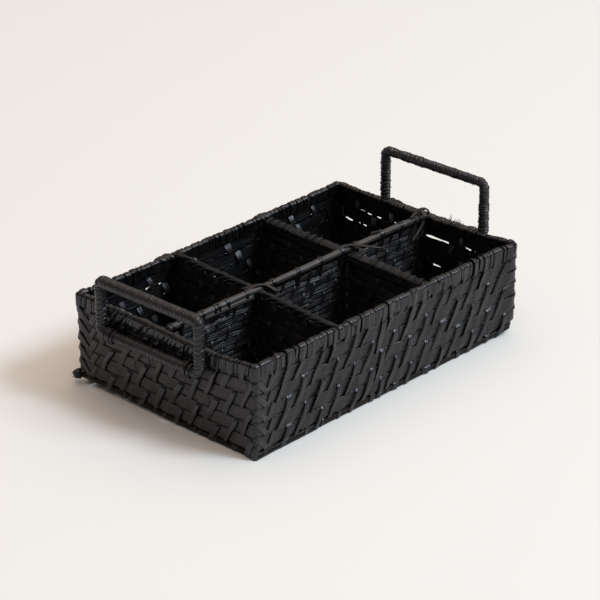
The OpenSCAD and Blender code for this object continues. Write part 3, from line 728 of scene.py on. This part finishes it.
# ------------------------------------------------------------------ dividers
def panel(name, u0, u1, mapping, nodes, rows, pitch, phase, lean, k=0.8, stake_w=5.0, mat=M_inner, z_top=82.0, step=1, bead=(), split=3, crown=0.20, groove=0.0, scatter=0.9):
    rows = [rows[0]] + [z_ + rng.uniform(-0.7, 0.7) for z_ in rows[1:-1]] + [rows[-1]]
    PW = Weave(rows, pitch, phase, lean, mid=0.0, k=k, step=step)
    PW.crown, PW.groove = crown, groove
    pc = Piece()
    for r in range(len(rows) - 1):
        PW.weaver(pc, r, u0, u1, gap=0.9, thick=0.75, split=split, du=2.0)
        # painted shade: a thin strip in the darkest tone behind each seam between rows, which also keeps light from
        # coming through there
        if r:
            n_ = max(4, int((u1 - u0) / 4)); uf = np.linspace(u0 + 0.5, u1 - 0.5, n_)
            pc.strip(np.stack([uf, np.full(n_, rows[r]), 0 * uf], 1), (0, 0, 1.0), 2.2, thick=0.2, crown=0.02, tone=0.1)
    smin = int(math.floor((u0 - abs(lean) * 90) / pitch)) - 2; smax = int(math.ceil((u1 + abs(lean) * 90) / pitch)) + 2
    for s in range(smin, smax):
        z = np.arange(2.6, z_top, 1.2)
        u = PW.at(s, z) + 0.7 * np.sin(z * 0.14 + s) + rng.normal(0, scatter)
        ok = (u > u0 + 1.5) & (u < u1 - 1.5)
        if ok.sum() < 8:
            continue
        z, u = z[ok], u[ok]
        P = np.stack([u, z, PW.levels(s, z)], 1)
        T = np.gradient(P, axis=0); Nv = np.stack([np.zeros(len(P)), -T[:, 2], T[:, 1]], 1)
        pc.strip(P, Nv, stake_w * rng.uniform(0.75, 1.2), thick=0.55, crown=0.34)
    # upright canes at the ends, where the panel is bound to its neighbour
    for ub in bead:
        zz = np.arange(2.6, 83.0, 2.0)
        pc.rod(np.stack([ub + 0.25 * np.sin(zz * 0.2), zz, 0.2 * np.sin(zz * 0.13)], 1), 1.9, sides=10, tone=0.3, N0=(1.0, 0, 0))
    return pc.make(name, mat, mapping=mapping, replaces=nodes)


SP_Y, SP_A = -3.0, -0.7
spine_map = panel_map(0, SP_Y, SP_A)
rows_d = [3.0 + 6.0 * i for i in range(14)]
rows_c = [3.0, 11.6, 20.2, 28.8, 37.4, 46.0, 54.6, 63.2, 71.8, 81.0]
panel("spine_weave", -167.6, 167.6, spine_map, ("spine_panel",), rows_d, 15.5, 0.4, 0.45, k=0.75, stake_w=3.3, mat=M_weave, bead=(-166.2, 166.2), split=3, crown=0.40, groove=0.18, scatter=2.4)


def spine_y(x): return SP_Y + math.tan(math.radians(SP_A)) * x


for name, x0, deg, node in (("near", -58.0, 86.0, "near_cross"), ("far", 60.0, 87.4, "far_cross")):
    mp = panel_map(x0, SP_Y, deg)
    off = (spine_y(x0) - SP_Y)
    panel(f"{name}_cross_weave_front", -103.4, off - 1.2, mp, (node + "_front",), rows_c, 12.6, 0.3, 0.3, k=0.8, stake_w=5.0, mat=M_cross_painted_light, bead=(-102.3, off - 3.2))
    panel(f"{name}_cross_weave_back", off + 1.2, 109.2, mp, (node + "_back",), rows_c, 12.6, 0.3, 0.3, k=0.8, stake_w=5.0, mat=M_cross_painted_light, bead=(off + 3.2, 108.0))

# rod along the spine, with the nodes of the cane, and its lashings
pc = Piece()
u = np.arange(-165, 165.1, 1.5)
rad = 3.1 + 0.12 * np.sin(u * 0.05 + 1) + 0.4 * np.exp(-((np.mod(u + 30, 118) - 50) / 1.3) ** 2)
zc = 86.9 + 0.45 * np.sin(u * 0.019 + 0.6) + 0.25 * np.sin(u * 0.06)
P = np.stack([u, zc, 0.35 * np.sin(u * 0.033)], 1)
pc.rod(P, rad, sides=16, tone=0.5)
# pale flat strips lying against the cane under it
for ua_, ub_, sg in ((-150, -62, 1.0), (-128, -70, -1.0), (66, 128, -1.0)):
    uf = np.arange(ua_, ub_, 2.0)
    pc.strip(np.stack([uf, 82.9 + 0.25 * np.sin(uf * 0.08), sg * (2.5 + 0.2 * np.sin(uf * 0.05))], 1), (0, 0.25, sg), 3.8, thick=0.8, crown=0.25, tone=0.75)
pc.make("spine_cane", M_rod, slot="rod", mapping=spine_map, replaces=("spine_rod",), sharp=0)


def rod_at(u):
    return 86.9 + 0.45 * math.sin(u * 0.019 + 0.6) + 0.25 * math.sin(u * 0.06), 0.35 * math.sin(u * 0.033)


pc = Piece()
for x in (-161, -152, -127, -109, -97, -70, -41, -8, 21, 50, 69, 104, 132, 150, 161):
    for t in range(rng.randint(1, 3)):
        xc = x + t * 2.6 + rng.uniform(-1, 1)
        zc_, nc = rod_at(xc)
        tilt = rng.uniform(-3.5, 3.5)
        th = np.linspace(-0.35, math.pi + 0.35, 22)
        r = 3.55 + 0.25 * t
        dn = np.linspace(0, 1, 7)[1:]
        lo = zc_ - rng.uniform(9, 15)
        v1 = np.stack([np.full(22, 0.0), zc_ + r * np.sin(th), nc + r * np.cos(th)], 1)
        left = np.stack([np.zeros(6), v1[-1, 1] + (lo - v1[-1, 1]) * dn, v1[-1, 2] + (-1.55 - v1[-1, 2]) * smooth(dn * 1.6)], 1)
        right = np.stack([np.zeros(6), v1[0, 1] + (lo - v1[0, 1]) * dn, v1[0, 2] + (1.55 - v1[0, 2]) * smooth(dn * 1.6)], 1)[::-1]
        P = np.concatenate([right, v1, left])
        P[:, 0] = xc + tilt * np.linspace(-1, 1, len(P))
        C = np.array([0, zc_, nc])
        Nv = P - C; Nv[:, 0] = 0
        Nv[:6] = (0, 0, 1); Nv[-6:] = (0, 0, -1)
        pc.strip(P, Nv, rng.uniform(1.8, 3.4), thick=0.5, crown=0.2)
# straps that cross the rod where the cross dividers meet it
for pts in (((37, 1.5, 84.6), (44, 1.6, 88.8), (53, 0.8, 91.2), (62, -1.6, 91.6), (69, -8.5, 90.6), (76, -16.5, 89.4), (84, -26.5, 88.2)),
            ((43, 3.4, 85.0), (50, 2.6, 89.2), (58, 1.4, 91.4), (64, -3.4, 90.6), (67, -10.5, 88.6), (69, -17.5, 86.6)),
            ((-66, 11.5, 86.6), (-62, 6.5, 88.4), (-56, 1.5, 91.0), (-50, -3.0, 90.6), (-47.5, -9.5, 88.4), (-47.5, -16.5, 86.8)),
            ((-70, 3.2, 85.6), (-65, 2.6, 89.2), (-58, 1.2, 91.2), (-51, -1.8, 90.4), (-44, -3.6, 87.4), (-39, -3.6, 84.4))):
    pts = np.array(pts, float); t = np.linspace(0, len(pts) - 1, 34)
    P = np.stack([np.interp(t, np.arange(len(pts)), pts[:, i_]) for i_ in (0, 2, 1)], 1)
    ker = np.hanning(9)[1:-1]; ker /= ker.sum()
    P = np.stack([np.convolve(np.pad(P[:, i_], 3, mode="edge"), ker, "valid") for i_ in range(3)], 1)
    P[:, 2] = -P[:, 2]
    pc.strip(P, (0, 1.0, 0), 4.0, thick=0.8, crown=0.35, taper=0.1, tone=0.95)
for q, (xc, r_) in enumerate(((158.5, 4.2), (161.5, 4.9), (164.2, 4.5))):
    zc_, nc = rod_at(xc)
    th = np.linspace(-0.5, math.pi + 0.6, 26)
    P = np.stack([xc + rng.uniform(-1.5, 1.5) * np.cos(th), zc_ - 0.2 + r_ * np.sin(th), nc + r_ * np.cos(th)], 1)
    pc.strip(P, np.stack([0 * th + rng.uniform(-0.3, 0.3), np.sin(th), np.cos(th)], 1), rng.uniform(2.6, 3.6), thick=0.8, crown=0.4)
# an arched end over the rim at the far end, and the strand that hangs from it


def through(pts, n=30):
    pts = np.array(pts, float); t = np.linspace(0, len(pts) - 1, n)
    Q = np.stack([np.interp(t, np.arange(len(pts)), pts[:, i_]) for i_ in range(3)], 1)
    ker = np.hanning(7)[1:-1]; ker /= ker.sum()
    return np.stack([np.convolve(np.pad(Q[:, i_], 2, mode="edge"), ker, "valid") for i_ in range(3)], 1)


pc.strip(through(((146.0, 90.4, 0.4), (150.5, 93.2, 0.3), (156.0, 95.2, 0.1), (162.0, 95.3, -0.1), (167.0, 93.8, 0.0), (170.4, 91.2, 0.2), (171.6, 88.2, 0.3), (171.0, 86.4, 0.4))), (0, 1.0, 0.12), 3.2, thick=1.2, crown=0.4, tone=0.3)
pc.strip(through(((163.6, 93.6, 0.4), (164.4, 90.4, 3.0), (163.6, 84.0, 3.9), (160.2, 77.0, 3.6), (158.6, 72.0, 2.8))), (0, 0.3, 1.0), 2.0, thick=0.6, crown=0.25, tone=0.8)
strand = Piece()
strand.strip(through(((161.6, 94.6, 0.2), (161.0, 92.8, 2.4), (160.6, 89.4, 3.8), (159.6, 84.6, 4.4), (156.2, 79.8, 4.4), (151.2, 74.8, 4.2), (144.6, 69.2, 3.6))), (0.1, 0.4, 1.0), np.interp(np.linspace(0, 1, 30), (0, 0.35, 0.6, 1.0), (4.6, 5.0, 2.9, 1.8)), thick=0.8, crown=0.35, tone=1.0)
strand.make("hanging_strand", M_rod, slot="rod", mapping=spine_map)
# a curl of strip end beside the far crossing
for q in range(3):
    th = np.linspace(0.3, 5.2, 22)
    zc_, nc = rod_at(98)
    P = np.stack([96 + q * 2.4 + 2.2 * np.cos(th), zc_ + 2.6 + 2.4 * np.sin(th), nc - 2.0 + 0.8 * q + 0.25 * th], 1)
    pc.strip(P, np.stack([np.cos(th), np.sin(th), 0 * th], 1), 2.4, thick=0.45, crown=0.15)
pc.make("spine_ties", M_rim, slot="stakes", mapping=spine_map, replaces=("spine_lashings",))

# top edge of the near cross divider: strips wound round it like a rope; of the far one: flat strip with cross wraps
for name, x0, deg in (("near", -58.0, 86.0), ("far", 60.0, 87.4)):
    mp = panel_map(x0, SP_Y, deg)
    for part, ua, ub in (("front", -104.0, -3.4), ("back", 2.6, 109.5)):
        pc = Piece()
        u = np.arange(ua, ub, 1.5)
        if name == "near":
            pc.rod(np.stack([u, 84.0 + 0 * u, 0 * u], 1), 1.7, sides=10)
            pc.rod(np.stack([u, 84.4 + 0 * u, 0 * u], 1), 2.1, sides=10)
            u0_ = ua - 20.0
            while u0_ < ub - 10:
                ln_ = rng.uniform(30, 37); t = np.linspace(0, 1, 34)
                uu = u0_ + ln_ * t
                nn_ = 3.3 - 6.6 * t + rng.uniform(-0.3, 0.3)
                e_ = smooth(np.minimum(t, 1 - t) / 0.20)
                zz_ = 82.6 + 4.3 * np.cos(nn_ / 4.6) - 2.6 * (1 - e_) + 0.35 * np.sin(t * 9 + u0_)
                P = np.stack([uu, zz_, nn_], 1); ok = (uu > ua) & (uu < ub)
                if ok.sum() > 6:
                    ph2 = nn_ / 3.6
                    pc.strip(P[ok], np.stack([0 * t, np.cos(ph2), np.sin(ph2)], 1)[ok], rng.uniform(2.7, 3.5), thick=1.2, crown=0.9)
                u0_ += rng.uniform(9.6, 12.0)
        else:
            P = np.stack([u, 84.2 + 0.2 * np.sin(u * 0.1), 0 * u], 1)
            pc.strip(P, (0, 1.0, -0.35), 7.0, thick=1.0, crown=0.1)
            for zc_, nc, ws in ((80.6, -2.7, 3.6), (76.9, -2.2, 3.0), (80.2, 2.0, 4.2)):
                P = np.stack([u, zc_ + 0.3 * np.sin(u * 0.07 + zc_), nc + 0.2 * np.sin(u * 0.09)], 1)
                pc.strip(P, (0, 0.45, 1.0 if nc > 0 else -1.0), ws, thick=0.8, crown=0.3, tone=0.85 if part == "front" and zc_ > 80.5 else 0.4)
            c = ua + 4
            while c < ub - 3:
                w = rng.uniform(6.8, 10.6)
                side_ = np.array([-2.2, -3.0, -3.6, -3.9, -3.7, -2.1, 0, 1.9, 3.2, 3.5, 3.2, 2.6, 2.0])
                hh = np.array([78.9, 80.6, 82.0, 83.0, 84.0, 85.0, 85.7, 86.2, 86.2, 85.3, 83.0, 80.4, 78.6]) + rng.uniform(-0.25, 0.25)
                P = np.stack([c + rng.uniform(0.6, 2.4) * np.linspace(-1, 1, 13), hh, side_], 1)
                T = np.gradient(P, axis=0)
                Nv = np.stack([0 * hh, T[:, 2], -T[:, 1]], 1)
                Nv[:, 0] = rng.normal(0.16, 0.14)
                P[:, 1] -= 0.5
                pc.strip(P, Nv, w, thick=0.5, crown=0.12)
                c += w + rng.uniform(0.5, 1.9)
        node = f"near_braid_{part}" if name == "near" else f"far_binding_{part}"
        pc.make(f"{name}_divider_edge_{part}", M_edge, slot="stakes", mapping=mp, replaces=(node,))

# ------------------------------------------------------------------ handles
LW, BEND = 120.0, 5.2


def loop_path(step, LH):
    w = LW / 2
    segs = []
    def line(a, b):
        n = max(2, int(np.linalg.norm(np.subtract(b, a)) / step)); t = np.arange(n)[:, None] / n
        segs.append(np.asarray(a) + (np.asarray(b, float) - np.asarray(a)) * t)
    def arc(cy, cz, a0):
        n = int(BEND * math.pi / 2 / step) + 1; th = np.radians(a0 + 90 * np.arange(n) / n)
        segs.append(np.stack([cy + BEND * np.cos(th), cz + BEND * np.sin(th)], 1))
    line((-w + BEND, 0), (w - BEND, 0)); arc(w - BEND, BEND, -90)
    line((w, BEND), (w, LH - BEND)); arc(w - BEND, LH - BEND, 0)
    line((w - BEND, LH), (-w + BEND, LH)); arc(-w + BEND, LH - BEND, 90)
    line((-w, LH - BEND), (-w, BEND)); arc(-w + BEND, BEND, 180)
    return np.concatenate(segs)


def handle(name, px, py, pz, seed, LH, r_low, r_leg, r_top, rough_):
    r0 = np.random.RandomState(seed)
    yz = loop_path(0.34, LH)
    P = np.stack([np.full(len(yz), px), py + yz[:, 0], pz + yz[:, 1]], 1)
    n = len(P)
    s = np.concatenate([[0], np.cumsum(np.linalg.norm(np.diff(P, axis=0), axis=1))]); L = s[-1] + 0.34
    # unequal turns of the wrapping strip
    wide = []
    while sum(wide) < L:
        wide.append(r0.uniform(2.0, 3.5) if r0.uniform() < 0.7 else r0.uniform(3.8, 5.6))
    wide = np.array(wide) * L / sum(wide); turns = len(wide)
    cum = np.concatenate([[0], np.cumsum(wide)])
    S = 24
    th = np.arange(S) / S
    tilt = 0.10 * np.sin(2 * math.pi * s / L * 9 + seed)
    ph_ = np.interp(s, cum, np.arange(turns + 1))[:, None] - th[None] + tilt[:, None] * np.sin(2 * math.pi * th)[None] + (0.07 * np.sin(s * 0.9)[:, None] * np.sin(4 * math.pi * th + 1)[None])
    fr = ph_ - np.floor(ph_)
    turn = np.floor(ph_).astype(int) % turns
    amp = rough_ * r0.uniform(-0.14, 0.14, turns)[turn]
    lean_ = r0.uniform(-0.25, 0.35, turns)[turn]
    wd = wide[turn]
    d = np.minimum(fr, 1 - fr) * wd
    body = 1 - np.exp(-(d / (0.26 + 0.10 * rough_)) ** 1.8)
    zr = yz[:, 1]; leg = smooth((np.minimum(zr, LH - zr)) / 7.0); up_ = smooth((zr - LH * 0.3) / (LH * 0.4))
    base = (r_low * (1 - up_) + r_top * up_) * (1 - leg) + r_leg * leg
    # slow lumps along the bar, the same all round it
    lump = 0.10 * np.sin(s * 0.11 + seed)[:, None] + 0.06 * np.sin(s * 0.31)[:, None]
    rad = base[:, None] - 0.42 - 0.2 * rough_ + (0.42 + 0.2 * rough_ + amp) * body + lean_ * (fr - 0.5) * body + lump
    pc = Piece()
    pc.rod(P, rad, sides=S, closed=True, N0=(1.0, 0, 0))
    a = np.stack([(th[None] * 32 + turn * 31.0), fr * wd + turn * 5.3, r0.uniform(0, 1, turns)[turn]], 2)
    pc.a[-1] = a.reshape(-1, 3)
    return pc, P


for nm, sx, py, pz, seed, LH, rl, rg, rt in (("near", -1, 10.0, 65.0, 3, 48.5, 5.3, 5.05, 5.55), ("far", 1, -7.0, 80.4, 5, 53.5, 4.8, 5.0, 4.6)):
    bx = sx * 176.65
    pc, P = handle(nm, bx, py, pz, seed, LH, rl, rg, rt, 1.0 if nm == "near" else 2.2)
    r0 = np.random.RandomState(seed + 20)
    # a tail of the wrap and a few fibres standing off it
    for _ in range(9):
        i = r0.randint(0, len(P)); d = r0.normal(0, 1, 3); d[0] = abs(d[0]) * sx
        d /= np.linalg.norm(d)
        t = np.linspace(0, 1, 7)[:, None]
        tang = P[(i + 3) % len(P)] - P[i]; tang /= np.linalg.norm(tang)
        d = d - tang * d.dot(tang); d /= np.linalg.norm(d)
        Q = P[i] + d * 5.3 + tang * t * r0.uniform(2, 5) + d * t ** 2 * r0.uniform(0.6, 1.6)
        pc.strip(Q, d, 0.35, thick=0.18, crown=0.02)
    pc.make(f"{nm}_handle_whipping", M_wrap, body=f"{nm}_handle", slot="handle_wrap", replaces=(f"{nm}_handle_wrap",), sharp=0)
    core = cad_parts[f"{nm}_handle_core"]
    core.data.materials.clear(); core.data.materials.append(M_rod)
    # strip loops round the lower bar, out of the wall and back
    pc = Piece()
    for ty, loops in ((-47.5, ((-3.6, 6.5, 2.6), (0.2, 6.9, 2.3), (3.0, 6.2, 2.8))), (47.5, ((-4.6, 6.2, 2.6), (-1.4, 6.6, 2.4), (1.6, 6.3, 2.9), (4.4, 6.9, 2.0)))):
        for q, (off_, rr, wq) in enumerate(loops):
            rr = rr if nm == "near" else rr - 0.85
            yy = py + ty + off_ + r0.uniform(-0.3, 0.3)
            th = np.linspace(math.radians(-52), math.radians(232), 30)
            X = bx + sx * rr * np.sin(th); Z = pz + rr * np.cos(th)
            skew = r0.uniform(-1.6, 1.6)
            Pq = np.stack([X, np.full(30, yy) + np.linspace(-skew, skew, 30), Z], 1)
            tail = np.linspace(0, 1, 6)[1:, None]
            wall_in = sx * (170 - 2.0)
            e0, e1 = Pq[0], Pq[-1]
            A0 = e0 + (np.array([wall_in, e0[1] - 0.4, e0[2] + (1.2 if e0[2] > pz else -1.2)]) - e0) * tail
            A1 = e1 + (np.array([wall_in, e1[1] + 0.4, e1[2] + (1.2 if e1[2] > pz else -1.2)]) - e1) * tail
            Pq = np.concatenate([A0[::-1], Pq, A1])
            C = np.array([bx, 0, pz]); Nv = Pq - C; Nv[:, 1] = r0.normal(0, 0.6)
            pc.strip(Pq, Nv, wq, thick=0.6, crown=0.25)
    pc.make(f"{nm}_handle_lashing", M_rim, slot="stakes", replaces=(f"{nm}_handle_ties",))

# ------------------------------------------------------------------ knot of strip ends at the corner, and loose fibres
pc = Piece()
r0 = np.random.RandomState(4)
K = np.array([-171.1, 109.0, 8.2])
for i in range(24):
    ax = r0.normal(0, 1, 3); ax /= np.linalg.norm(ax); b = np.cross(ax, r0.normal(0, 1, 3)); b /= np.linalg.norm(b); c = np.cross(ax, b)
    th = np.linspace(0, r0.uniform(3.5, 6.2), 18); rr = r0.uniform(2.2, 4.6)
    Q = K + rr * (np.cos(th)[:, None] * b + np.sin(th)[:, None] * c) + ax * np.linspace(-0.8, 0.8, 18)[:, None]
    pc.strip(Q, Q - K, r0.uniform(1.8, 3.0), thick=0.6, crown=0.2)
for i in range(10):
    d = np.array([-0.7, 0.6, 0.2]) + r0.normal(0, 0.45, 3); d /= np.linalg.norm(d)
    t = np.linspace(0, 1, 8)[:, None]
    Q = K + d * (2 + t * r0.uniform(2.5, 5)) + np.array([0, 0, -1.0]) * t ** 2 * r0.uniform(0, 2)
    Q[:, 2] = np.maximum(Q[:, 2], 1.0)
    pc.strip(Q, np.cross(d, [0.3, 0.2, 1]), 0.7, thick=0.25, crown=0.02, taper=0.4)
for i in range(6):      # strips from the knot back to the corner of the wall
    t = np.linspace(0, 1, 10)[:, None]
    A0 = K + r0.normal(0, 1.4, 3); A1 = np.array([-169.4, 107.2, 8.5 + i * 0.9]) + r0.normal(0, 0.5, 3)
    Q = A0 + (A1 - A0) * t + np.array([-0.7, 0.7, 0.4]) * np.sin(t * math.pi) * r0.uniform(0.5, 1.8)
    pc.strip(Q, np.array([-0.7, 0.7, 0.3]) + r0.normal(0, 0.3, 3), r0.uniform(2.0, 3.0), thick=0.6, crown=0.2)
pc.make("knot_of_ends", M_stake, slot="stakes", replaces=("corner_knot",))

pc = Piece()
def hair(p, d, length, w=0.4, droop=0.25):
    d = np.asarray(d, float); d /= np.linalg.norm(d); t = np.linspace(0, 1, 9)[:, None]
    side = np.cross(d, r0.normal(0, 1, 3)); side /= np.linalg.norm(side)
    Q = np.asarray(p, float) + d * t * length + side * t ** 2 * length * r0.uniform(-0.35, 0.35) + np.array([0, 0, -1.0]) * t ** 2 * length * droop
    pc.strip(Q, side, w, thick=0.22, crown=0.02, taper=0.3)
for _ in range(16):
    y = -38 + r0.normal(0, 9); hair((168.5 + r0.uniform(-2, 1), y, 88.5), (r0.uniform(-0.5, 0.7), r0.uniform(-0.8, 0.8), 1), r0.uniform(4, 9.5), 0.5)
for x, y in ((-70, 107), (-66, 106), (57, 100), (62, -3), (60, -2), (-57, -3), (150, 106), (-100, 107), (-160, 60), (-166, -70)):
    hair((x, y, 88.0), (r0.uniform(-0.6, 0.6), r0.uniform(-0.6, 0.6), 1), r0.uniform(2.5, 6), 0.36)
pc.make("loose_fibres", M_rim, slot="stakes")

# ------------------------------------------------------------------ floor, light, camera
def plane(name, size, mat):
    me = bpy.data.meshes.new(name)
    me.from_pydata([(-size, -size, 0), (size, -size, 0), (size, size, 0), (-size, size, 0)], [], [(0, 1, 2, 3)])
    me.materials.append(mat)
    o = bpy.data.objects.new(name, me); bpy.context.scene.collection.objects.link(o)
    return o


fm = bpy.data.materials.new("floor_paper"); fm.use_nodes = True
fb = fm.node_tree.nodes["Principled BSDF"]
fb.inputs["Base Color"].default_value = (0.785, 0.785, 0.785, 1); fb.inputs["Roughness"].default_value = 0.9
fb.inputs["Specular IOR Level"].default_value = 0.1
floor = plane("floor", 9.0, fm)

world = bpy.data.worlds.new("studio"); bpy.context.scene.world = world; world.use_nodes = True
wt = world.node_tree
bg = wt.nodes["Background"]
wc = wt.nodes.new("ShaderNodeTexCoord")
chans = []
sz = wt.nodes.new("ShaderNodeSeparateXYZ"); wt.links.new(wc.outputs["Generated"], sz.inputs[0])
high = wt.nodes.new("ShaderNodeMapRange"); high.interpolation_type = "SMOOTHSTEP"; high.inputs["From Min"].default_value = 0.25; high.inputs["From Max"].default_value = 0.60
wt.links.new(sz.outputs[2], high.inputs["Value"])
# soft overhead light: each channel rises with the height of the direction
for c0, cx, cy, cz, g in ((-0.567, 0.50, -0.12, 1.708, 1.045), (-0.258, 0.42, -0.18, 1.129, 1.08), (-0.117, 0.34, -0.20, 0.814, 1.10)):
    dp = wt.nodes.new("ShaderNodeVectorMath"); dp.operation = "DOT_PRODUCT"; dp.inputs[1].default_value = (cx / 0.8 * g, cy / 0.8 * g, cz / 0.8 * g)
    wt.links.new(wc.outputs["Generated"], dp.inputs[0])
    ad = wt.nodes.new("ShaderNodeMath"); ad.operation = "ADD"; ad.inputs[1].default_value = c0 / 0.8 * g; wt.links.new(dp.outputs["Value"], ad.inputs[0])
    pr = wt.nodes.new("ShaderNodeMath"); pr.operation = "MULTIPLY"; wt.links.new(ad.outputs[0], pr.inputs[0]); wt.links.new(high.outputs[0], pr.inputs[1])
    mx = wt.nodes.new("ShaderNodeMath"); mx.operation = "MAXIMUM"; mx.inputs[1].default_value = 0.14; wt.links.new(pr.outputs[0], mx.inputs[0])
    chans.append(mx.outputs[0])
cb = wt.nodes.new("ShaderNodeCombineColor")
for i_, o_ in enumerate(chans):
    wt.links.new(o_, cb.inputs[i_])
wt.links.new(cb.outputs[0], bg.inputs["Color"]); bg.inputs["Strength"].default_value = 1.0

ld = bpy.data.lights.new("key", "AREA"); ld.shape = "DISK"; ld.size = 2.3
key = bpy.data.objects.new("key", ld); bpy.context.scene.collection.objects.link(key)
Ldir = np.array([0.304, -0.637, 0.708]); Ldir /= np.linalg.norm(Ldir)
dist = 6.5
key.location = tuple(Ldir * dist)
ld.energy = 300.0; ld.color = (0.735, 0.885, 1.0)
from mathutils import Vector, Matrix
key.rotation_euler = Vector(tuple(Ldir)).to_track_quat("Z", "Y").to_euler()

L = 0.34
az, el, roll, d, f, tx, ty = -46.91, 25.35, -0.19, 7.1231, 2669.0, -0.0012, -0.1489
a_, e_ = math.radians(az), math.radians(el)
backv = np.array([math.sin(a_) * math.cos(e_), -math.cos(a_) * math.cos(e_), math.sin(e_)])
right = np.cross([0, 0, 1.0], backv); right /= np.linalg.norm(right); up = np.cross(backv, right)
rr_ = math.radians(roll)
R0 = math.cos(rr_) * right + math.sin(rr_) * up; R1 = -math.sin(rr_) * right + math.cos(rr_) * up
loc = (-tx * R0 - ty * R1 + d * backv) * L
cd = bpy.data.cameras.new("camera"); cam = bpy.data.objects.new("camera", cd); bpy.context.scene.collection.objects.link(cam)
cd.sensor_width = 36.0; cd.sensor_fit = "HORIZONTAL"; cd.lens = f * 36.0 / 600.0
cd.clip_start = 0.05; cd.clip_end = 50
M = Matrix(((R0[0], R1[0], backv[0], loc[0]), (R0[1], R1[1], backv[1], loc[1]), (R0[2], R1[2], backv[2], loc[2]), (0, 0, 0, 1)))
cam.matrix_world = M
bpy.context.scene.camera = cam
bpy.context.scene.view_settings.view_transform = "Standard"
bpy.context.scene.view_settings.look = "None"
